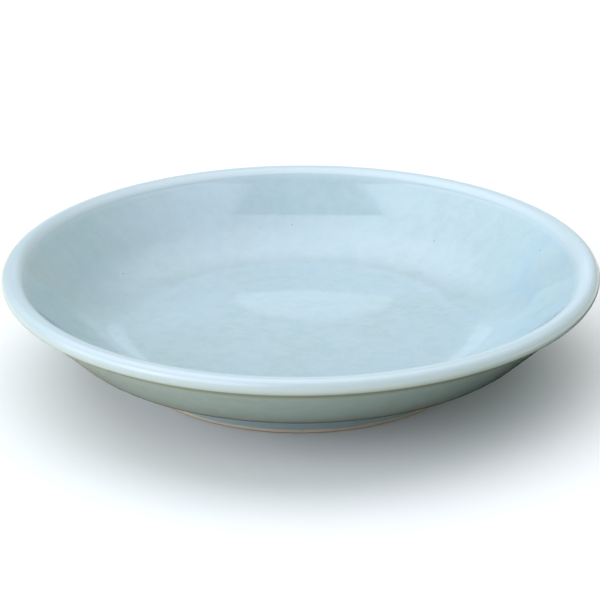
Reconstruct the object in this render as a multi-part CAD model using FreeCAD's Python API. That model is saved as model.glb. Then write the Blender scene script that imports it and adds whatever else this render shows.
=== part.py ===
"""Shallow round dish of glazed stoneware, on a low foot ring.

The dish is a body of revolution about Z. Its origin is at the centre of the face that it stands on.
Lengths are in millimetres and angles in degrees.

The glazed surface is drawn once, as a chain of rounds joined by straight faces that touch them. The
clay under it is the same chain, set in by the thickness of the glaze. Each piece is the area between
two stretches of those chains, turned about the axis, so neighbours meet face to face:

    clay_bowl     the fired clay bowl with its rolled rim
    foot_ring     the clay ring luted under the bowl, bare where the dish stands on it
    glaze_coat    the glaze from the foot's outer face, over the rim, to the middle of the floor
    recess_glaze  the glaze inside the foot ring, cut off from the rest by the wiped foot
"""
import FreeCAD, Part

import math
import os
from typing import NamedTuple

# ---- Driving dimensions, over the glaze unless they say otherwise ----
RIM_DIAMETER = 200.0
HEIGHT = 37.8
GLAZE = 0.5                   # thickness of the glaze

WALL_SLOPE = 45.0             # the wall's rise from the level, inside and out
WALL_THICKNESS = 5.45
WALL_FACE_AT_BASE = 64.9      # radius where the wall's outer face would reach the table

LIP_RADIUS = 2.67             # outer round of the rolled rim
SHOULDER_RADIUS = 5.9         # from the top of the rim inwards
CREASE_RADIUS = 2.0           # hollow line between the shoulder and the inner wall
UNDER_LIP_RADIUS = 1.0        # hollow line between the wall and the rolled rim

KNEE_RADIUS_OUTSIDE = 15.5    # between the wall and the underside
KNEE_RADIUS_INSIDE = 36.0     # between the wall and the floor
FLOOR_LEVEL = 13.6            # height of the middle of the floor
FLOOR_RADIUS = 1500.0         # the floor rises very slightly to its middle

UNDERSIDE_SLOPE = 12.0        # of the underside outside the recess
FOOT_HEIGHT = 8.7             # where the foot's outer face meets the underside
FOOT_RADIUS = 58.3            # outer face at the table
FOOT_THICKNESS = 6.0          # at the table
FOOT_LEAN_OUTSIDE = 4.0       # of the foot's outer face from upright
FOOT_LEAN_INSIDE = 10.0       # of the foot's inner face from upright
FOOT_HOLLOW_OUTSIDE = 2.0     # hollow between the foot's outer face and the underside
FOOT_HOLLOW_INSIDE = 2.5      # hollow between the foot's inner face and the underside
FOOT_EDGE_RADIUS = 0.8        # of the bare clay edges
RECESS_HEIGHT = 6.5           # from the table to the roof of the recess
RECESS_KNEE_RADIUS = 20.0     # between the recess roof and the underside
WIPE_HEIGHT = 1.6             # the glaze is wiped off the foot below this

DOWN, UP = -90.0, 90.0        # directions that a face can look in


class Face(NamedTuple):
    """A straight face of the section: all points p with p . normal(angle) == offset."""

    angle: float
    offset: float


class Round(NamedTuple):
    """A round of the section. Its radius is negative where the surface is hollow.

    start and end are the directions in which its surface looks where it begins and ends.
    """

    centre: FreeCAD.Vector
    radius: float
    start: float
    end: float


def point(radius, height):
    """A point of the section, by its distance from the axis and its height."""
    return FreeCAD.Vector(radius, 0, height)


def normal(angle):
    """The direction at this angle from the radius, turning up."""
    return point(math.cos(math.radians(angle)), math.sin(math.radians(angle)))


def face_through(angle, place):
    """The face that looks towards angle and goes through place."""
    return Face(angle, normal(angle).dot(place))


def crossing(first, second):
    """The point where two straight faces cross."""
    n1, n2 = normal(first.angle), normal(second.angle)
    span = n1.x * n2.z - n1.z * n2.x
    return point(
        (first.offset * n2.z - second.offset * n1.z) / span,
        (second.offset * n1.x - first.offset * n2.x) / span,
    )


def set_in(face, depth):
    """The face moved into the material by depth."""
    return Face(face.angle, face.offset - depth)


def round_between(first, second, radius):
    """The round that touches two straight faces, from the first to the second."""
    centre = crossing(set_in(first, radius), set_in(second, radius))
    return Round(centre, radius, first.angle, second.angle)


def round_centre(face, centre, circle_radius, radius, higher):
    """Centre of the round that touches a face and a circle, the higher or lower of the two."""
    base = normal(face.angle) * (face.offset - radius)
    along = normal(face.angle + 90)
    reach = along.dot(centre - base)
    off = (centre - base - along * reach).Length
    half = math.sqrt((circle_radius - radius) ** 2 - off ** 2)
    options = sorted((base + along * (reach + s * half) for s in (-1, 1)), key=lambda p: p.z)
    return options[1] if higher else options[0]


def direction(start, end):
    """The angle of the way from start to end, from -90 up to 270."""
    angle = math.degrees(math.atan2(end.z - start.z, end.x - start.x))
    return angle + 360 if angle < DOWN else angle


def on_round(this, angle, inset=0.0):
    """The point of a round where its surface looks towards angle, set in by inset."""
    return this.centre + normal(angle) * (this.radius - inset)


def chain(first, rounds, last, inset=0.0):
    """Edges along the rounds and the straight faces between them, from point first to point last."""
    edges, here = [], first
    for this in rounds:
        start = on_round(this, this.start, inset)
        middle = on_round(this, (this.start + this.end) / 2, inset)
        end = on_round(this, this.end, inset)
        if (start - here).Length > 1e-6:
            edges.append(Part.makeLine(here, start))
        edges.append(Part.Arc(start, middle, end).toShape())
        here = end
    if (last - here).Length > 1e-6:
        edges.append(Part.makeLine(here, last))
    return edges


def at_height(face, height):
    """The point of a straight face at this height."""
    return crossing(face, Face(UP, height))


def turned(*edges):
    """The solid swept by the closed outline of these edges as it turns about the axis."""
    outline = Part.Wire(Part.__sortEdges__(list(edges)))
    solid = Part.Face(outline).revolve(FreeCAD.Vector(), FreeCAD.Vector(0, 0, 1), 360)
    solid.fix(1e-6, 1e-6, 1e-4)
    if solid.Volume < 0:
        solid.reverse()
    return solid


# ---- Straight faces of the section ----
WALL = face_through(WALL_SLOPE - 90, point(WALL_FACE_AT_BASE, 0))
INNER_WALL = Face(WALL_SLOPE + 90, WALL_THICKNESS - WALL.offset)
UNDERSIDE = face_through(UNDERSIDE_SLOPE - 90, point(FOOT_RADIUS, FOOT_HEIGHT))
RECESS_ROOF = Face(DOWN, -RECESS_HEIGHT)
FOOT_OUTSIDE = face_through(-FOOT_LEAN_OUTSIDE, point(FOOT_RADIUS, 0))
FOOT_INSIDE = face_through(FOOT_LEAN_INSIDE - 180, point(FOOT_RADIUS - FOOT_THICKNESS, 0))
TABLE = Face(DOWN, 0.0)


def rim_rounds():
    """The rolled rim: hollow under the lip, lip, shoulder, and the crease at the inner wall."""
    lip_centre = point(RIM_DIAMETER / 2 - LIP_RADIUS, HEIGHT - LIP_RADIUS)
    shoulder_centre = point(lip_centre.x, HEIGHT - SHOULDER_RADIUS)
    under_centre = round_centre(WALL, lip_centre, LIP_RADIUS, -UNDER_LIP_RADIUS, higher=False)
    crease_centre = round_centre(
        INNER_WALL, shoulder_centre, SHOULDER_RADIUS, -CREASE_RADIUS, higher=False
    )
    lip_start = direction(lip_centre, under_centre)
    shoulder_end = direction(shoulder_centre, crease_centre)
    return [
        Round(under_centre, -UNDER_LIP_RADIUS, WALL.angle, lip_start),
        Round(lip_centre, LIP_RADIUS, lip_start, UP),
        Round(shoulder_centre, SHOULDER_RADIUS, UP, shoulder_end),
        Round(crease_centre, -CREASE_RADIUS, shoulder_end, INNER_WALL.angle),
    ]


def floor_rounds():
    """The hollow between the inner wall and the floor, and the floor."""
    floor_centre = point(0, FLOOR_LEVEL - FLOOR_RADIUS)
    knee_centre = round_centre(
        INNER_WALL, floor_centre, FLOOR_RADIUS, -KNEE_RADIUS_INSIDE, higher=True
    )
    floor_edge = direction(floor_centre, knee_centre)
    return [
        Round(knee_centre, -KNEE_RADIUS_INSIDE, INNER_WALL.angle, floor_edge),
        Round(floor_centre, FLOOR_RADIUS, floor_edge, UP),
    ]


OUTER_KNEE = round_between(UNDERSIDE, WALL, KNEE_RADIUS_OUTSIDE)
RECESS_KNEE = round_between(RECESS_ROOF, UNDERSIDE, RECESS_KNEE_RADIUS)
OUTER_HOLLOW = round_between(FOOT_OUTSIDE, UNDERSIDE, -FOOT_HOLLOW_OUTSIDE)
INNER_HOLLOW = round_between(UNDERSIDE, FOOT_INSIDE, -FOOT_HOLLOW_INSIDE)
BOWL_OUTSIDE_AND_INSIDE = [OUTER_KNEE, *rim_rounds(), *floor_rounds()]


def clay_bowl():
    """The clay bowl, from the recess roof under it to the floor inside it."""
    roof = point(0, RECESS_HEIGHT + GLAZE)
    floor = point(0, FLOOR_LEVEL - GLAZE)
    surface = chain(roof, [RECESS_KNEE, *BOWL_OUTSIDE_AND_INSIDE], floor, GLAZE)
    return turned(*surface, Part.makeLine(floor, roof))


def foot_ring():
    """The clay foot ring, from its seat on the underside to the table."""
    outside, inside = set_in(FOOT_OUTSIDE, GLAZE), set_in(FOOT_INSIDE, GLAZE)
    seat_outer = on_round(OUTER_HOLLOW, OUTER_HOLLOW.end, GLAZE)
    seat_inner = on_round(INNER_HOLLOW, INNER_HOLLOW.start, GLAZE)
    outer_toe = on_round(OUTER_HOLLOW, OUTER_HOLLOW.start, GLAZE)
    inner_toe = on_round(INNER_HOLLOW, INNER_HOLLOW.end, GLAZE)
    hollow_outside = chain(outer_toe, [OUTER_HOLLOW], seat_outer, GLAZE)
    hollow_inside = chain(seat_inner, [INNER_HOLLOW], inner_toe, GLAZE)
    edges = [
        round_between(inside, TABLE, FOOT_EDGE_RADIUS),
        round_between(TABLE, outside, FOOT_EDGE_RADIUS),
    ]
    bare = chain(inner_toe, edges, outer_toe)
    return turned(*hollow_outside, *hollow_inside, *bare, Part.makeLine(seat_outer, seat_inner))


def coat(start_face, rounds, axis_height, clay_axis_height):
    """A coat of glaze along the rounds, from the wiped line on start_face to the axis."""
    glaze_edge = at_height(start_face, WIPE_HEIGHT)
    clay_edge = at_height(set_in(start_face, GLAZE), WIPE_HEIGHT)
    glaze_end, clay_end = point(0, axis_height), point(0, clay_axis_height)
    return turned(
        *chain(glaze_edge, rounds, glaze_end),
        *chain(clay_edge, rounds, clay_end, GLAZE),
        Part.makeLine(glaze_edge, clay_edge),
        Part.makeLine(glaze_end, clay_end),
    )


def glaze_coat():
    """The glaze over the foot's outer face, the wall, the rim and all of the inside."""
    rounds = [OUTER_HOLLOW, *BOWL_OUTSIDE_AND_INSIDE]
    return coat(FOOT_OUTSIDE, rounds, FLOOR_LEVEL, FLOOR_LEVEL - GLAZE)


def backwards(this):
    """The same round, followed from its end to its start."""
    return Round(this.centre, this.radius, this.end, this.start)


def recess_glaze():
    """The glaze over the foot's inner face and the roof of the recess."""
    rounds = [backwards(INNER_HOLLOW), backwards(RECESS_KNEE)]
    return coat(FOOT_INSIDE, rounds, RECESS_HEIGHT, RECESS_HEIGHT + GLAZE)


def main():
    """Writes one STEP file per piece, and prints each piece's volume."""
    os.makedirs("parts", exist_ok=True)
    for build in (clay_bowl, foot_ring, glaze_coat, recess_glaze):
        solid = build()
        solid.exportStep(f"parts/{build.__name__}.step")
        print(f"{build.__name__}: {solid.Volume / 1000:.2f} cm3, valid {solid.isValid()}")


main()
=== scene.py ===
"""Looks of a shallow round stoneware dish under a glossy, pale blue-green glaze.

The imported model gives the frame: how wide the rim is, how high it stands, how wide the foot is, and
where the glaze is wiped off. The dish is turned again around those sizes, with far finer steps than
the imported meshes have, so that its gloss runs smoothly:

    glaze_coat     the glaze over the foot's outer face, the wall, the rim and the whole inside
    recess_glaze   the glaze inside the foot ring
    foot_ring      the clay ring that the dish stands on, bare at its edge
    clay_bowl      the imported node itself, hidden under the glaze

Lengths are in metres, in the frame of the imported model. Angles are in degrees unless they say so.
"""

import logging
import math
from dataclasses import dataclass
from enum import Enum
from typing import NamedTuple

import bmesh
import bpy
from mathutils import Matrix, Vector, noise


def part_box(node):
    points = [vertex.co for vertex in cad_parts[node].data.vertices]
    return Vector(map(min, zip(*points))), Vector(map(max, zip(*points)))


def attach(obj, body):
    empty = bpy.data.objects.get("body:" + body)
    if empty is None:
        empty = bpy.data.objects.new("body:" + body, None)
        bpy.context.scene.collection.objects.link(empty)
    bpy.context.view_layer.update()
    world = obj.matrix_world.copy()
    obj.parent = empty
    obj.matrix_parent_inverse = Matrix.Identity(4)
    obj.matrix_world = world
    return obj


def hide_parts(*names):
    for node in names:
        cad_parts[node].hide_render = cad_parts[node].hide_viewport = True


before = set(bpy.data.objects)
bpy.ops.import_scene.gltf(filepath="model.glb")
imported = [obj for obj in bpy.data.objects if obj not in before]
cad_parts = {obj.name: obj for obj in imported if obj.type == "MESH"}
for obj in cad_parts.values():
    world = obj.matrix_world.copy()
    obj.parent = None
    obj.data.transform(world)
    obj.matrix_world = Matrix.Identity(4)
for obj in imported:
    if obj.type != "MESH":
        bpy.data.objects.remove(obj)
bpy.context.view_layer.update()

MM = 0.001
DOWN, UP = -90.0, 90.0  # directions that a face of the section can look in

Colour = tuple[float, float, float]
Place = tuple[float, float, float]
Source = bpy.types.NodeSocket | float | Colour | Place  # what an input of a node can get

log = logging.getLogger("dish")


class Slot(Enum):
    """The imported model's material slots."""

    GLAZE = "blue_green_glaze"
    CLAY = "fired_clay"


# ---------------------------------------------------------------------------------------------
# The section: straight faces, and the rounds that join them
# ---------------------------------------------------------------------------------------------


class Face(NamedTuple):
    """A straight face of the section: all its points p have p . normal(angle) == offset."""

    angle: float
    offset: float


class Round(NamedTuple):
    """A round of the section. Its radius is negative where the surface is hollow.

    start and end are the directions in which its surface looks where it begins and ends.
    """

    centre: Vector
    radius: float
    start: float
    end: float


def point(radius: float, height: float) -> Vector:
    """A point of the section, by its distance from the axis and its height."""
    return Vector((radius, 0, height))


def normal(angle: float) -> Vector:
    """The direction at this angle from the radius, turning up."""
    return point(math.cos(math.radians(angle)), math.sin(math.radians(angle)))


def face_through(angle: float, place: Vector) -> Face:
    """The face that looks towards angle and goes through place."""
    return Face(angle, normal(angle).dot(place))


def set_in(face: Face, depth: float) -> Face:
    """The face moved into the material by depth."""
    return Face(face.angle, face.offset - depth)


def crossing(first: Face, second: Face) -> Vector:
    """The point where two straight faces cross.

    Args:
        first: one face.
        second: the other face.

    Returns:
        The point.
    """
    n1, n2 = normal(first.angle), normal(second.angle)
    span = n1.x * n2.z - n1.z * n2.x
    return point(
        (first.offset * n2.z - second.offset * n1.z) / span,
        (second.offset * n1.x - first.offset * n2.x) / span,
    )


def round_between(first: Face, second: Face, radius: float) -> Round:
    """The round that touches two straight faces, from the first to the second."""
    centre = crossing(set_in(first, radius), set_in(second, radius))
    return Round(centre, radius, first.angle, second.angle)


def round_centre(face: Face, centre: Vector, circle: float, radius: float, higher: bool) -> Vector:
    """Centre of the round that touches a face and a circle.

    Args:
        face: the straight face.
        centre: the circle's centre.
        circle: the circle's radius, negative where it is hollow.
        radius: the round's own radius, negative where it is hollow.
        higher: whether the higher of the two answers is wanted.

    Returns:
        The centre.
    """
    base = normal(face.angle) * (face.offset - radius)
    along = normal(face.angle + 90)
    reach = along.dot(centre - base)
    off = (centre - base - along * reach).length
    half = math.sqrt((circle - radius) ** 2 - off**2)
    answers = sorted((base + along * (reach + side * half) for side in (-1, 1)), key=lambda p: p.z)
    return answers[1] if higher else answers[0]


def direction(start: Vector, end: Vector) -> float:
    """The angle of the way from start to end, from -90 up to 270."""
    angle = math.degrees(math.atan2(end.z - start.z, end.x - start.x))
    return angle + 360 if angle < DOWN else angle


class Lathe:
    """Draws one side of a turned piece's section, and turns it about the dish's axis."""

    STEP_LENGTH = 2.6 * MM  # the longest step along the section
    STEP_ANGLE = 4.0  # the largest step round a round
    TURNS = 288  # steps in a whole turn about the axis
    SAME_PLACE = 0.01 * MM  # points closer than this are one point

    def __init__(self, start: Vector) -> None:
        """Starts the section at a point."""
        self.mesh = bmesh.new()
        self.tip = self.mesh.verts.new(start)

    def line_to(self, place: Vector) -> None:
        """Draws on to a point, in even steps.

        Args:
            place: the point.
        """
        gap = place - self.tip.co
        if gap.length < self.SAME_PLACE:
            return
        steps = math.ceil(gap.length / self.STEP_LENGTH)
        for _ in range(steps):
            made = bmesh.ops.extrude_vert_indiv(self.mesh, verts=[self.tip])
            self.tip = made["verts"][0]
            bmesh.ops.translate(self.mesh, verts=[self.tip], vec=gap / steps)

    def follow(self, this: Round, inset: float = 0.0) -> None:
        """Draws to the start of a round, and along it.

        Args:
            this: the round.
            inset: how far inside the surface the section runs.
        """
        radius = this.radius - inset
        self.line_to(this.centre + normal(this.start) * radius)
        angle = this.end - this.start
        length = math.radians(abs(angle)) * abs(radius)
        steps = max(math.ceil(abs(angle) / self.STEP_ANGLE), math.ceil(length / self.STEP_LENGTH))
        made = bmesh.ops.spin(
            self.mesh,
            geom=[self.tip],
            cent=this.centre,
            axis=(0, -1, 0),
            angle=math.radians(angle),
            steps=steps,
        )
        self.tip = next(e for e in made["geom_last"] if isinstance(e, bmesh.types.BMVert))

    def close(self) -> None:
        """Draws a straight edge from the tip back to the first point."""
        self.mesh.verts.ensure_lookup_table()
        self.line_to(self.mesh.verts[0].co.copy())

    def turn(self) -> bmesh.types.BMesh:
        """Turns the section all the way round, and closes the seam and the pole.

        Returns:
            The turned mesh, with its faces looking outwards.
        """
        bmesh.ops.spin(
            self.mesh,
            geom=self.mesh.verts[:] + self.mesh.edges[:],
            cent=(0, 0, 0),
            axis=(0, 0, 1),
            angle=math.tau,
            steps=self.TURNS,
            use_merge=True,
        )
        bmesh.ops.remove_doubles(self.mesh, verts=self.mesh.verts[:], dist=self.SAME_PLACE)
        bmesh.ops.recalc_face_normals(self.mesh, faces=self.mesh.faces[:])
        return self.mesh


@dataclass
class Section:
    """The dish's section over the glaze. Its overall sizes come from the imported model."""

    glaze: float = 0.5 * MM
    wall_slope: float = 45.0
    wall_thickness: float = 5.45 * MM
    wall_face_at_base: float = 64.9 * MM
    lip: float = 2.67 * MM
    shoulder: float = 5.9 * MM
    crease: float = 5.0 * MM
    under_lip: float = 1.0 * MM
    knee_outside: float = 15.5 * MM
    knee_inside: float = 36.0 * MM
    floor_level: float = 13.6 * MM
    floor_dome: float = 1500.0 * MM
    underside_slope: float = 12.0
    foot_radius: float = 58.3 * MM
    foot_height: float = 8.7 * MM
    foot_thickness: float = 6.0 * MM
    foot_lean_outside: float = 4.0
    foot_lean_inside: float = 10.0
    foot_hollow_outside: float = 2.0 * MM
    foot_hollow_inside: float = 2.5 * MM
    foot_edge: float = 0.8 * MM
    recess_height: float = 6.5 * MM
    recess_knee: float = 20.0 * MM

    def __post_init__(self) -> None:
        """Reads the overall sizes from the frame, and works out the straight faces and rounds."""
        low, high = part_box("glaze_coat")
        self.rim_radius = high.x
        self.height = high.z
        self.wiped_at = low.z
        self.wall = face_through(self.wall_slope - 90, point(self.wall_face_at_base, 0))
        self.inner_wall = Face(self.wall_slope + 90, self.wall_thickness - self.wall.offset)
        self.underside = face_through(self.underside_slope - 90, point(self.foot_radius, self.foot_height))
        self.recess_roof = Face(DOWN, -self.recess_height)
        self.foot_outside = face_through(-self.foot_lean_outside, point(self.foot_radius, 0))
        self.foot_inside = face_through(
            self.foot_lean_inside - 180, point(self.foot_radius - self.foot_thickness, 0)
        )
        self.table = Face(DOWN, 0.0)
        self.outer_hollow = round_between(self.foot_outside, self.underside, -self.foot_hollow_outside)
        self.inner_hollow = round_between(self.underside, self.foot_inside, -self.foot_hollow_inside)
        self.outer_knee = round_between(self.underside, self.wall, self.knee_outside)
        self.recess_round = round_between(self.recess_roof, self.underside, self.recess_knee)

    def rim_rounds(self) -> list[Round]:
        """The rolled rim: hollow under the lip, lip, shoulder, and the crease at the inner wall.

        Returns:
            The rounds, from the outer wall to the inner wall.
        """
        lip_centre = point(self.rim_radius - self.lip, self.height - self.lip)
        shoulder_centre = point(lip_centre.x, self.height - self.shoulder)
        under_centre = round_centre(self.wall, lip_centre, self.lip, -self.under_lip, higher=False)
        crease_centre = round_centre(
            self.inner_wall, shoulder_centre, self.shoulder, -self.crease, higher=False
        )
        lip_start = direction(lip_centre, under_centre)
        shoulder_end = direction(shoulder_centre, crease_centre)
        return [
            Round(under_centre, -self.under_lip, self.wall.angle, lip_start),
            Round(lip_centre, self.lip, lip_start, UP),
            Round(shoulder_centre, self.shoulder, UP, shoulder_end),
            Round(crease_centre, -self.crease, shoulder_end, self.inner_wall.angle),
        ]

    def floor_rounds(self) -> list[Round]:
        """The hollow between the inner wall and the floor, and the floor.

        Returns:
            The rounds, from the inner wall to the axis.
        """
        floor_centre = point(0, self.floor_level - self.floor_dome)
        knee_centre = round_centre(
            self.inner_wall, floor_centre, self.floor_dome, -self.knee_inside, higher=True
        )
        floor_edge = direction(floor_centre, knee_centre)
        return [
            Round(knee_centre, -self.knee_inside, self.inner_wall.angle, floor_edge),
            Round(floor_centre, self.floor_dome, floor_edge, UP),
        ]


def backwards(this: Round) -> Round:
    """The same round, followed from its end to its start."""
    return Round(this.centre, this.radius, this.end, this.start)


def finished(name: str, mesh: bmesh.types.BMesh) -> bpy.types.Object:
    """Puts a finished bmesh into the scene as an object at the origin.

    Args:
        name: the piece's name.
        mesh: the bmesh, which is freed.

    Returns:
        The object.
    """
    data = bpy.data.meshes.new(name)
    mesh.to_mesh(data)
    mesh.free()
    data.shade_smooth()
    piece = bpy.data.objects.new(name, data)
    bpy.context.scene.collection.objects.link(piece)
    return piece


def dress(
    piece: bpy.types.Object, node: str, finish: bpy.types.Material
) -> bpy.types.Object:
    """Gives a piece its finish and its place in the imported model.

    Args:
        piece: the piece.
        node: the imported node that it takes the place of.
        finish: the material.

    Returns:
        The piece.
    """
    piece.data.materials.append(finish)
    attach(piece, "root")
    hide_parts(node)
    return piece


@dataclass
class Glazing:
    """The two coats of glaze: a little uneven, with a soft, wavering edge where the foot is wiped."""

    section: Section
    sag: float = 0.07 * MM
    sag_length: float = 34.0 * MM
    waver: float = 0.35 * MM
    waver_length: float = 9.0 * MM
    waver_reach: float = 1.3 * MM
    edge_round: float = 0.2 * MM
    edge_steps: int = 3
    edge_angle: float = 60.0

    def waver_edge(self, mesh: bmesh.types.BMesh) -> None:
        """Lets the wiped edge run up and down a little.

        Args:
            mesh: the glaze's surface.
        """
        low = self.section.wiped_at
        for vert in mesh.verts:
            share = 1 - (vert.co.z - low) / self.waver_reach
            if share > 0:
                vert.co.z += self.waver * share * noise.noise(vert.co / self.waver_length)

    def let_sag(self, mesh: bmesh.types.BMesh) -> None:
        """Sinks the surface by a small, slowly changing depth.

        Args:
            mesh: the glaze's surface.
        """
        mesh.normal_update()
        for vert in mesh.verts:
            depth = 0.5 + 0.5 * noise.noise(vert.co / self.sag_length)
            vert.co -= vert.normal * self.sag * depth

    def skin(self, lathe: Lathe) -> bmesh.types.BMesh:
        """Turns an open section into a skin of glaze with a rounded edge.

        Args:
            lathe: the lathe with the section of the glaze's surface.

        Returns:
            The closed skin.
        """
        mesh = lathe.turn()
        self.waver_edge(mesh)
        self.let_sag(mesh)
        bmesh.ops.solidify(mesh, geom=mesh.faces[:], thickness=self.section.glaze)
        sharp = [edge for edge in mesh.edges if edge.calc_face_angle(0) > math.radians(self.edge_angle)]
        bmesh.ops.bevel(
            mesh,
            geom=sharp,
            offset=self.edge_round,
            segments=self.edge_steps,
            profile=0.5,
            affect="EDGES",
            material=-1,
        )
        return mesh

    def coat(self) -> bpy.types.Object:
        """The glaze from the foot's outer face, over the rim, to the middle of the floor.

        Returns:
            The piece, not dressed yet.
        """
        s = self.section
        lathe = Lathe(crossing(s.foot_outside, Face(UP, s.wiped_at)))
        for this in (s.outer_hollow, s.outer_knee, *s.rim_rounds(), *s.floor_rounds()):
            lathe.follow(this)
        return finished("glaze_coat_turned", self.skin(lathe))

    def recess(self) -> bpy.types.Object:
        """The glaze over the foot's inner face and the roof of the recess.

        Returns:
            The piece, not dressed yet.
        """
        s = self.section
        lathe = Lathe(crossing(s.foot_inside, Face(UP, s.wiped_at)))
        for this in (backwards(s.inner_hollow), backwards(s.recess_round)):
            lathe.follow(this)
        lathe.line_to(point(0, s.recess_height))
        return finished("recess_glaze_turned", self.skin(lathe))

    def build(self, glaze: bpy.types.Material) -> list[bpy.types.Object]:
        """Builds and dresses the two coats.

        Args:
            glaze: their material.

        Returns:
            The two pieces.
        """
        return [
            dress(self.coat(), "glaze_coat", glaze),
            dress(self.recess(), "recess_glaze", glaze),
        ]


@dataclass
class Foot:
    """The clay foot ring, trimmed on the wheel and bare where it stands."""

    section: Section

    def ring(self) -> bpy.types.Object:
        """The ring, from its seat under the bowl to the bare edge that the dish stands on.

        Returns:
            The piece, not dressed yet.
        """
        s = self.section
        outside, inside = set_in(s.foot_outside, s.glaze), set_in(s.foot_inside, s.glaze)
        seat = s.outer_hollow.centre + normal(s.outer_hollow.end) * (s.outer_hollow.radius - s.glaze)
        lathe = Lathe(seat)
        lathe.follow(backwards(s.outer_hollow), s.glaze)
        lathe.follow(backwards(round_between(s.table, outside, s.foot_edge)))
        lathe.follow(backwards(round_between(inside, s.table, s.foot_edge)))
        lathe.follow(backwards(s.inner_hollow), s.glaze)
        lathe.close()
        return finished("foot_ring_turned", lathe.turn())

    def build(self, clay: bpy.types.Material) -> list[bpy.types.Object]:
        """Builds and dresses the ring."""
        return [dress(self.ring(), "foot_ring", clay)]


@dataclass
class Bowl:
    """The clay bowl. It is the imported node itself, because the glaze hides all of it."""

    node: str = "clay_bowl"

    def build(self, clay: bpy.types.Material) -> list[bpy.types.Object]:
        """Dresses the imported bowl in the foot's clay.

        Args:
            clay: its material.

        Returns:
            The one piece.
        """
        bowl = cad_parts[self.node]
        for place in bowl.material_slots:
            place.material = clay
        return [bowl]


# ---------------------------------------------------------------------------------------------
# Effects that the finishes share
# ---------------------------------------------------------------------------------------------


class Sum(Enum):
    """The sums that two values can go through."""

    ADD = "ADD"
    SUBTRACT = "SUBTRACT"
    MULTIPLY = "MULTIPLY"
    DIVIDE = "DIVIDE"
    MAXIMUM = "MAXIMUM"
    LESS_THAN = "LESS_THAN"


class Band(NamedTuple):
    """The stretch over which something eases in: nothing of it at start, and all of it at end."""

    start: float
    end: float


@dataclass
class Wiring:
    """A node tree, and short ways to add to it."""

    tree: bpy.types.NodeTree

    def add(self, kind: str, inputs: dict[str | int, Source], **settings: str) -> bpy.types.Node:
        """Adds a node.

        Args:
            kind: the node's type, without its "ShaderNode".
            inputs: what each input gets: another node's output, or a constant.
            settings: the node's own properties.

        Returns:
            The node.
        """
        node = self.tree.nodes.new(f"ShaderNode{kind}")
        for name, value in settings.items():
            setattr(node, name, value)
        for name, source in inputs.items():
            self.give(node.inputs[name], source)
        return node

    def give(self, target: bpy.types.NodeSocket, source: Source) -> None:
        """Joins an output to an input, or sets the input's constant.

        Args:
            target: the input.
            source: another node's output, or a constant.
        """
        if isinstance(source, bpy.types.NodeSocket):
            self.tree.links.new(source, target)
        elif isinstance(source, tuple) and len(target.default_value) == 4:
            target.default_value = (*source, 1)
        else:
            target.default_value = source

    def ramp(self, value: Source, band: Band, low: float = 0, high: float = 1) -> Source:
        """Eases from low to high as the value goes through the band."""
        inputs = {"Value": value, "From Min": band.start, "From Max": band.end, "To Min": low, "To Max": high}
        return self.add("MapRange", inputs, interpolation_type="SMOOTHSTEP").outputs["Result"]

    def work(self, this: Sum, first: Source, second: Source) -> Source:
        """Works one sum on two values."""
        return self.add("Math", {0: first, 1: second}, operation=this.value).outputs[0]

    def times(self, first: Source, second: Source) -> Source:
        """The product of two values."""
        return self.work(Sum.MULTIPLY, first, second)

    def mix(self, amount: Source, first: Source, second: Source) -> Source:
        """Blends two colours."""
        return self.add("Mix", {"Factor": amount, 6: first, 7: second}, data_type="RGBA").outputs[2]

    def vector(self, operation: str, first: Source, second: Source) -> Source:
        """Works one operation on two vectors."""
        return self.add("VectorMath", {0: first, 1: second}, operation=operation).outputs["Vector"]

    def scaled(self, vector: Source, amount: Source) -> Source:
        """A vector or a colour, times a value."""
        inputs = {0: vector, "Scale": amount}
        return self.add("VectorMath", inputs, operation="SCALE").outputs["Vector"]


class Effect:
    """A pattern in a node group of its own, made once and used by every finish that needs it."""

    name = ""
    takes: dict[str, str] = {}
    gives: dict[str, str] = {}

    def group(self) -> bpy.types.NodeTree:
        """The node group, made when it is first asked for.

        Returns:
            The group.
        """
        known = bpy.data.node_groups.get(self.name)
        if known:
            return known
        tree = bpy.data.node_groups.new(self.name, "ShaderNodeTree")
        for names, way in ((self.takes, "INPUT"), (self.gives, "OUTPUT")):
            for name, kind in names.items():
                tree.interface.new_socket(name, in_out=way, socket_type=f"NodeSocket{kind}")
        start, end = tree.nodes.new("NodeGroupInput"), tree.nodes.new("NodeGroupOutput")
        for name, source in self.draw(Wiring(tree), start.outputs).items():
            tree.links.new(source, end.inputs[name])
        return tree

    def draw(self, wire: Wiring, given: bpy.types.NodeOutputs) -> dict[str, Source]:
        """Adds the pattern's nodes.

        Args:
            wire: the group's wiring.
            given: the group's inputs.

        Returns:
            The source of each of the group's outputs.
        """
        raise NotImplementedError

    def use(self, wire: Wiring, **inputs: Source) -> bpy.types.NodeOutputs:
        """Puts the pattern into a material.

        Args:
            wire: the material's wiring.
            inputs: what each input gets.

        Returns:
            The pattern's outputs.
        """
        node = wire.tree.nodes.new("ShaderNodeGroup")
        node.node_tree = self.group()
        for name, source in inputs.items():
            wire.give(node.inputs[name], source)
        return node.outputs


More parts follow.
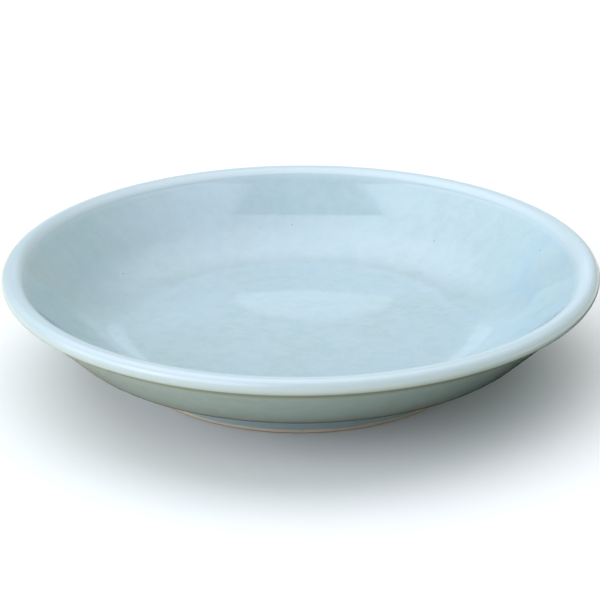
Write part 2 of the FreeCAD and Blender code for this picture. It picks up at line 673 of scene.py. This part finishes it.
class Clouds(Effect):
    """Soft, drifting patches, as in a glaze that flowed, or in uneven clay."""

    name = "clouds"
    takes = {"Place": "Vector", "Length": "Float"}
    gives = {"Amount": "Float"}

    OCTAVES = 4.0
    DISTORTION = 0.5
    RANGE = Band(0.3, 0.7)

    def draw(self, wire: Wiring, given: bpy.types.NodeOutputs) -> dict[str, Source]:
        """Noise, stretched to fill its range.

        Args:
            wire: the group's wiring.
            given: the place, and the length of the patches.

        Returns:
            The amount of cloud, from 0 to 1.
        """
        scale = wire.work(Sum.DIVIDE, 1.0, given["Length"])
        inputs = {"Vector": given["Place"], "Scale": scale}
        pattern = wire.add("TexNoise", {**inputs, "Detail": self.OCTAVES, "Distortion": self.DISTORTION})
        return {"Amount": wire.ramp(pattern.outputs["Fac"], self.RANGE)}

    def amount(self, wire: Wiring, place: Source, length: float) -> Source:
        """Uses the pattern, with patches of one length."""
        return self.use(wire, Place=place, Length=length)["Amount"]


class Spots(NamedTuple):
    """How spots are strewn.

    gap is the space between the places that can hold a spot, reach the largest spot's radius, share
    the part of the places that hold one, and strength how much a spot colours what is under it.
    """

    gap: float
    reach: float
    share: float
    strength: float


class Specks(Effect):
    """Small round spots, strewn at random: iron in the glaze, pinholes, sand in the clay."""

    name = "specks"
    takes = {"Place": "Vector", "Gap": "Float", "Reach": "Float", "Share": "Float"}
    gives = {"Amount": "Float"}

    EDGE = Band(1.0, 0.55)

    def draw(self, wire: Wiring, given: bpy.types.NodeOutputs) -> dict[str, Source]:
        """One spot of random size in some of the cells of a random lattice.

        Args:
            wire: the group's wiring.
            given: the place, and the spots' gap, reach and share.

        Returns:
            The amount of spot, from 0 to 1.
        """
        scale = wire.work(Sum.DIVIDE, 1.0, given["Gap"])
        cells = wire.add("TexVoronoi", {"Vector": given["Place"], "Scale": scale})
        lot = wire.add("SeparateColor", {"Color": cells.outputs["Color"]})
        reach = wire.times(given["Reach"], lot.outputs["Green"])
        reach = wire.work(Sum.DIVIDE, reach, given["Gap"])
        inside = wire.work(Sum.DIVIDE, cells.outputs["Distance"], reach)
        drawn = wire.work(Sum.LESS_THAN, lot.outputs["Red"], given["Share"])
        return {"Amount": wire.times(wire.ramp(inside, self.EDGE), drawn)}

    def amount(self, wire: Wiring, place: Source, spots: Spots) -> Source:
        """Uses the pattern, with spots strewn in one way."""
        return self.use(wire, Place=place, Gap=spots.gap, Reach=spots.reach, Share=spots.share)["Amount"]


class Bearings(Effect):
    """Where a point of the surface is: how far from the axis, and how high."""

    name = "bearings"
    takes = {"Place": "Vector"}
    gives = {"Radius": "Float", "Height": "Float"}

    LEVEL = (1, 1, 0)

    def draw(self, wire: Wiring, given: bpy.types.NodeOutputs) -> dict[str, Source]:
        """The length of the level part of the point, and its upright part.

        Args:
            wire: the group's wiring.
            given: the place.

        Returns:
            The radius and the height.
        """
        flat = wire.vector("MULTIPLY", given["Place"], self.LEVEL)
        radius = wire.add("VectorMath", {0: flat}, operation="LENGTH")
        split = wire.add("SeparateXYZ", {0: given["Place"]})
        return {"Radius": radius.outputs["Value"], "Height": split.outputs["Z"]}


# ---------------------------------------------------------------------------------------------
# Finishes
# ---------------------------------------------------------------------------------------------

WHOLE = Band(0.0, 1.0)


@dataclass(frozen=True)
class Glaze:
    """Glossy, pale blue-green glaze: cloudy, paler where it runs thin, with a few specks."""

    blue: Colour = (0.36, 0.48, 0.54)
    green: Colour = (0.345, 0.455, 0.48)
    drift_length: float = 45 * MM
    milky: Colour = (0.44, 0.54, 0.58)
    curd_length: float = 5 * MM
    curd_strength: float = 0.38
    fine_length: float = 1.1 * MM
    fine_strength: float = 0.22

    pooled: Colour = (0.30, 0.46, 0.57)
    pool: Place = (88 * MM, 0.0, 28 * MM)
    pool_reach: Band = Band(52 * MM, 12 * MM)
    pool_length: float = 11 * MM
    pool_strength: float = 0.6

    thin: Colour = (0.455, 0.55, 0.595)
    rim_radius: Band = Band(91 * MM, 93.5 * MM)
    rim_height: Band = Band(31.5 * MM, 34 * MM)

    # Painted shade: darker, greener glaze low on the outer wall, and in the hollow under the rim, where glaze
    # also gathers.
    painted_shade_tone: Colour = (0.27, 0.285, 0.195)
    outside: Band = Band(59 * MM, 62 * MM)
    shade_low_height: Band = Band(22 * MM, 8 * MM)
    shade_under_rim: tuple[Band, Band] = (Band(29.5 * MM, 31.5 * MM), Band(33.4 * MM, 32.6 * MM))
    shade_under_rim_radius: Band = Band(97.6 * MM, 96.6 * MM)
    painted_shade_strength: float = 0.85

    iron: Colour = (0.14, 0.11, 0.08)
    iron_specks: Spots = Spots(gap=6 * MM, reach=0.5 * MM, share=0.5, strength=0.45)
    pinholes: Spots = Spots(gap=4 * MM, reach=0.35 * MM, share=0.4, strength=0.4)

    ior: float = 1.6
    smoothest: float = 0.02
    roughest: float = 0.05
    relief: float = 0.0015 * MM
    curd_relief: float = 0.3
    fine_relief: float = 0.06
    pinhole_relief: float = 3.0

    def pooled_here(self, wire: Wiring, place: Source) -> Source:
        """How much of the bluer glaze has pooled on one side of the wall.

        Args:
            wire: the material's wiring.
            place: the point of the surface.

        Returns:
            The amount, from 0 to 1.
        """
        nearby = {0: place, 1: self.pool}
        away = wire.add("VectorMath", nearby, operation="DISTANCE").outputs["Value"]
        mottle = Clouds().amount(wire, place, self.pool_length)
        return wire.times(wire.ramp(away, self.pool_reach), mottle)

    def painted_shade_here(self, wire: Wiring, where: bpy.types.NodeOutputs) -> Source:
        """How much painted shade falls on the outside: low on the wall, and in the hollow under the rim,
        where glaze also gathers.

        Args:
            wire: the material's wiring.
            where: the point's radius and height.

        Returns:
            The amount, from 0 to 1.
        """
        outside = wire.ramp(wire.work(Sum.SUBTRACT, where["Radius"], where["Height"]), self.outside)
        low = wire.ramp(where["Height"], self.shade_low_height)
        shaded_under_rim = wire.ramp(where["Radius"], self.shade_under_rim_radius)
        for edge in self.shade_under_rim:
            shaded_under_rim = wire.times(shaded_under_rim, wire.ramp(where["Height"], edge))
        return wire.times(outside, wire.work(Sum.MAXIMUM, low, shaded_under_rim))

    def material(self) -> bpy.types.Material:
        """Builds the material.

        Returns:
            The material.
        """
        made = bpy.data.materials.new("blue_green_glaze")
        made.use_nodes = True
        wire = Wiring(made.node_tree)
        shader = made.node_tree.nodes["Principled BSDF"]
        place = wire.add("TexCoord", {}).outputs["Object"]
        where = Bearings().use(wire, Place=place)
        drift = Clouds().amount(wire, place, self.drift_length)
        curd = Clouds().amount(wire, place, self.curd_length)
        fine = Clouds().amount(wire, place, self.fine_length)
        iron = Specks().amount(wire, place, self.iron_specks)
        pinholes = Specks().amount(wire, place, self.pinholes)
        at_rim = wire.times(
            wire.ramp(where["Radius"], self.rim_radius), wire.ramp(where["Height"], self.rim_height)
        )

        colour = wire.mix(drift, self.green, self.blue)
        for amount, strength, tone in (
            (curd, self.curd_strength, self.milky),
            (fine, self.fine_strength, self.milky),
            (self.pooled_here(wire, place), self.pool_strength, self.pooled),
            (at_rim, 1.0, self.thin),
            # painted shade on the outside, low on the wall and in the hollow under the rim
            (self.painted_shade_here(wire, where), self.painted_shade_strength, self.painted_shade_tone),
            (iron, self.iron_specks.strength, self.iron),
            (pinholes, self.pinholes.strength, self.iron),
        ):
            colour = wire.mix(wire.times(amount, strength), colour, tone)
        wire.give(shader.inputs["Base Color"], colour)

        wire.give(shader.inputs["Roughness"], wire.ramp(curd, WHOLE, self.smoothest, self.roughest))
        shader.inputs["IOR"].default_value = self.ior
        raised = wire.work(
            Sum.ADD, wire.times(curd, self.curd_relief), wire.times(fine, self.fine_relief)
        )
        height = wire.work(Sum.SUBTRACT, raised, wire.times(pinholes, self.pinhole_relief))
        bump = wire.add("Bump", {"Height": height, "Distance": self.relief, "Strength": 1.0})
        wire.give(shader.inputs["Normal"], bump.outputs["Normal"])
        return made


@dataclass(frozen=True)
class BareClay:
    """Fired clay where it is bare: dry, fine-grained, and browner at the edge it stands on."""

    tan: Colour = (0.68, 0.59, 0.46)
    brown: Colour = (0.54, 0.44, 0.33)
    patch_length: float = 9 * MM
    patch_strength: float = 0.35
    # browner towards the edge that the dish stands on
    browner_height: Band = Band(0.9 * MM, 0.2 * MM)
    pale: Colour = (0.72, 0.65, 0.54)
    grain_length: float = 0.5 * MM
    grain_strength: float = 0.2
    sand: Spots = Spots(gap=0.9 * MM, reach=0.3 * MM, share=0.4, strength=0.4)
    dark: Colour = (0.12, 0.09, 0.06)
    grit: Spots = Spots(gap=2.2 * MM, reach=0.4 * MM, share=0.35, strength=0.6)
    roughest: float = 0.95
    smoothest: float = 0.75
    relief: float = 0.04 * MM
    relief_strength: float = 0.8

    def material(self) -> bpy.types.Material:
        """Builds the material.

        Returns:
            The material.
        """
        made = bpy.data.materials.new("bare_clay")
        made.use_nodes = True
        wire = Wiring(made.node_tree)
        shader = made.node_tree.nodes["Principled BSDF"]
        place = wire.add("TexCoord", {}).outputs["Object"]
        where = Bearings().use(wire, Place=place)
        grain = Clouds().amount(wire, place, self.grain_length)

        colour: Source = self.tan
        for amount, strength, tone in (
            (Clouds().amount(wire, place, self.patch_length), self.patch_strength, self.brown),
            (wire.ramp(where["Height"], self.browner_height), 1.0, self.brown),
            (grain, self.grain_strength, self.pale),
            (Specks().amount(wire, place, self.sand), self.sand.strength, self.pale),
            (Specks().amount(wire, place, self.grit), self.grit.strength, self.dark),
        ):
            colour = wire.mix(wire.times(amount, strength), colour, tone)
        wire.give(shader.inputs["Base Color"], colour)

        wire.give(shader.inputs["Roughness"], wire.ramp(grain, WHOLE, self.roughest, self.smoothest))
        relief = {"Height": grain, "Distance": self.relief, "Strength": self.relief_strength}
        wire.give(shader.inputs["Normal"], wire.add("Bump", relief).outputs["Normal"])
        return made


# ---------------------------------------------------------------------------------------------
# The studio
# ---------------------------------------------------------------------------------------------


class Glow(NamedTuple):
    """A soft patch of light on the studio's walls and ceiling.

    azimuth turns from the back of the studio towards the right, and elevation goes up from the
    floor. The patch is even out to core, and has faded out at spread.
    """

    azimuth: float
    elevation: float
    spread: float
    light: Colour = (1, 1, 1)
    core: float = 0.0


@dataclass
class Studio:
    """A pale floor, soft light and the camera."""

    section: Section

    focal_length: float = 105.6
    sensor_width: float = 36.0
    nearest_seen: float = 10 * MM
    camera_distance: float = 600 * MM
    camera_elevation: float = 22.57
    camera_roll: float = -0.31
    aim_aside: float = -0.2 * MM
    aim_below_rim: float = 16.1 * MM

    floor_size: float = 8.0
    floor_tone: Colour = (0.85, 0.85, 0.85)
    floor_roughness: float = 0.9
    # Painted shadow: a dark patch on the bench round the dish, a little off its centre, which the dish sees
    # below itself.
    painted_shadow: Colour = (0.03, 0.03, 0.025)
    bench: Colour = (0.82, 0.76, 0.58)
    painted_shadow_centre: Place = (0.05, 0.02, 0.0)
    painted_shadow_edge: Band = Band(0.09, 0.17)

    walls: Colour = (0.46, 0.48, 0.38)
    ceiling_opening: Glow = Glow(1, 59.8, spread=48.5, core=48.0)
    overhead: tuple[Glow, ...] = (
        Glow(0, 88, 60, (1.5, 1.42, 1.62)),
        Glow(-80, 50, 60, (0.42, 0.6, 0.66)),
    )
    around: tuple[Glow, ...] = (
        Glow(-105, 12, 35, (2.0, 2.25, 2.5)),
        Glow(-140, 28, 35, (2.4, 2.4, 2.95)),
        Glow(115, 38, 35, (0.15, 0.35, 0.6)),
        Glow(0, 12, 22, (0.3, 0.42, 0.62)),
    )

    panel_width: float = 0.24
    panel_height: float = 0.17
    panel_place: Place = (0.021, 1.5, 0.558)
    panel_colour: Colour = (0.67, 0.78, 1.0)
    panel_watts_per_area: float = 1.15

    def camera(self) -> None:
        """Sets the camera up, looking down at the dish from the front."""
        data = bpy.data.cameras.new("camera")
        data.lens = self.focal_length
        data.sensor_width = self.sensor_width
        data.clip_start = self.nearest_seen
        camera = bpy.data.objects.new("camera", data)
        bpy.context.scene.collection.objects.link(camera)
        elevation = math.radians(self.camera_elevation)
        target = Vector((self.aim_aside, 0, self.section.height - self.aim_below_rim))
        back = Vector((0, -math.cos(elevation), math.sin(elevation)))
        turn = back.to_track_quat("Z", "Y").to_matrix().to_4x4()
        roll = Matrix.Rotation(math.radians(self.camera_roll), 4, "Z")
        camera.matrix_world = Matrix.Translation(target + back * self.camera_distance) @ turn @ roll
        bpy.context.scene.camera = camera

    def floor(self) -> None:
        """Lays the floor. The camera sees it pale, and the dish sees a bench with a painted shadow round its
        foot.
        """
        bpy.ops.mesh.primitive_plane_add(size=self.floor_size, location=(0, 0, 0))
        floor = bpy.context.object
        floor.name = "floor"
        made = bpy.data.materials.new("floor")
        made.use_nodes = True
        wire = Wiring(made.node_tree)
        shader = made.node_tree.nodes["Principled BSDF"]
        shader.inputs["Base Color"].default_value = (*self.floor_tone, 1)
        shader.inputs["Roughness"].default_value = self.floor_roughness
        place = wire.add("TexCoord", {}).outputs["Object"]
        # The bench is darkened by the painted shadow near the dish, and pale farther out.
        aside = wire.vector("SUBTRACT", place, self.painted_shadow_centre)
        out = wire.ramp(Bearings().use(wire, Place=aside)["Radius"], self.painted_shadow_edge)
        bench = wire.add("BsdfDiffuse", {"Color": wire.mix(out, self.painted_shadow, self.bench)})
        path = wire.add("LightPath", {})
        seen = {"Fac": path.outputs["Is Camera Ray"], 1: bench.outputs[0], 2: shader.outputs[0]}
        either = wire.add("MixShader", seen)
        wire.give(made.node_tree.nodes["Material Output"].inputs["Surface"], either.outputs[0])
        floor.data.materials.append(made)

    def patch(self, wire: Wiring, way: Source, glow: Glow) -> Source:
        """How much of a glow is seen in a direction.

        Args:
            wire: the world's wiring.
            way: the direction.
            glow: the glow.

        Returns:
            The amount, from 0 to 1.
        """
        turn, rise = math.radians(glow.azimuth), math.radians(glow.elevation)
        axis = (math.sin(turn) * math.cos(rise), math.cos(turn) * math.cos(rise), math.sin(rise))
        facing = wire.add("VectorMath", {0: way, 1: axis}, operation="DOT_PRODUCT").outputs["Value"]
        edge = Band(math.cos(math.radians(glow.spread)), math.cos(math.radians(glow.core)))
        return wire.ramp(facing, edge)

    def gather(self, wire: Wiring, way: Source, glows: tuple[Glow, ...]) -> Source:
        """The light of several glows together.

        Args:
            wire: the world's wiring.
            way: the direction in which it is seen.
            glows: the glows.

        Returns:
            The light's colour.
        """
        total: Source = (0, 0, 0)
        for glow in glows:
            total = wire.vector("ADD", wire.scaled(glow.light, self.patch(wire, way, glow)), total)
        return total

    def light(self) -> None:
        """Lights the studio: a soft light through an opening overhead, and glows around."""
        world = bpy.data.worlds.new("studio")
        world.use_nodes = True
        wire = Wiring(world.node_tree)
        way = wire.add("TexCoord", {}).outputs["Generated"]
        opening = self.patch(wire, way, self.ceiling_opening)
        above = wire.scaled(self.gather(wire, way, self.overhead), opening)
        around = wire.vector("ADD", self.gather(wire, way, self.around), self.walls)
        total = wire.vector("ADD", above, around)
        wire.give(world.node_tree.nodes["Background"].inputs["Color"], total)
        bpy.context.scene.world = world

    def back_panel(self) -> None:
        """Stands a low, pale panel of light behind the dish, which its floor mirrors."""
        data = bpy.data.lights.new("back_panel", "AREA")
        data.shape = "ELLIPSE"
        data.size, data.size_y = self.panel_width, self.panel_height
        data.color = self.panel_colour
        data.energy = self.panel_watts_per_area * self.panel_width * self.panel_height
        panel = bpy.data.objects.new("back_panel", data)
        bpy.context.scene.collection.objects.link(panel)
        place = Vector(self.panel_place)
        facing = (-place).to_track_quat("-Z", "Y").to_matrix().to_4x4()
        panel.matrix_world = Matrix.Translation(place) @ facing

    def build(self) -> None:
        """Sets up the whole studio."""
        self.camera()
        self.floor()
        self.light()
        self.back_panel()
        bpy.context.scene.view_settings.view_transform = "Standard"


def main() -> None:
    """Builds the dish and the studio, and reports each piece."""
    section = Section()
    glaze, clay = Glaze().material(), BareClay().material()
    for piece in (*Glazing(section).build(glaze), *Foot(section).build(clay), *Bowl().build(clay)):
        log.info("%s: %d faces", piece.name, len(piece.data.polygons))
    Studio(section).build()


if __name__ == "__main__":
    logging.basicConfig(level=logging.INFO, format="%(name)s: %(message)s")
    main()
